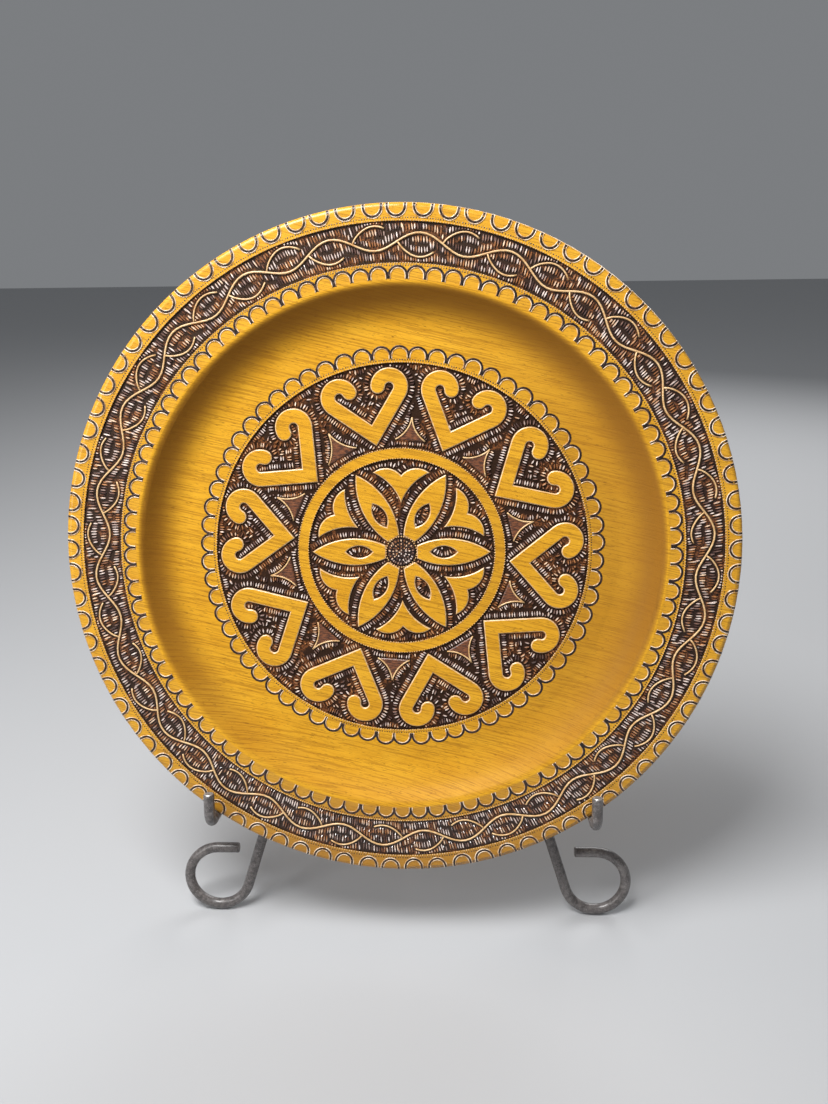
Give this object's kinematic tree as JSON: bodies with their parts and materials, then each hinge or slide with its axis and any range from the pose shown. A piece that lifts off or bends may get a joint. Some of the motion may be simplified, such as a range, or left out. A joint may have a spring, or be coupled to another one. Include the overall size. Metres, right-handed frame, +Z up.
{
  "type": "wooden display plate on easel",
  "caption": "Carved and wood-burned round wooden plate standing on a folding iron rod easel with scroll feet.",
  "frame": {"origin": "on the table, under the middle of the whole object's box", "axes": "+Z up, -Y is the way the plate faces, +X across the plate"},
  "size_m": [0.3, 0.1786, 0.3306],
  "materials": {
    "carved_wood": "gold stain under gloss varnish, burned and carved",
    "brass_wire": "dull drawn wire",
    "painted_iron": "satin hammered black-brown"
  },
  "bodies": {
    "front_frame": {"left_leg": "painted_iron", "right_leg": "painted_iron", "rest_bar": "painted_iron", "hinge_bar": "painted_iron", "bar_welds": "painted_iron", "hinge_welds": "painted_iron", "apex_weld": "painted_iron"},
    "back_leg": {"back_leg": "painted_iron", "hinge_sleeve": "painted_iron", "sleeve_welds": "painted_iron"},
    "plate": {"plate": "carved_wood", "hanger_staple": "brass_wire"},
    "hanger_ring": {"hanger_ring": "brass_wire"}
  },
  "joints": [
    {"name": "back_leg_fold", "type": "hinge", "parent": "front_frame", "child": "back_leg", "pos_m": [0, -0.02289, 0.21842], "axis": [1, 0, 0], "range_deg": [-30, 0]},
    {"name": "plate_lift", "type": "slide", "parent": "front_frame", "child": "plate", "axis": [0, 0.2079, 0.9781], "range_m": [0, 0.25]},
    {"name": "ring_swing", "type": "hinge", "parent": "plate", "child": "hanger_ring", "pos_m": [0, -0.0144, 0.29696], "axis": [1, 0, 0], "range_deg": [-2, 150]}
  ]
}
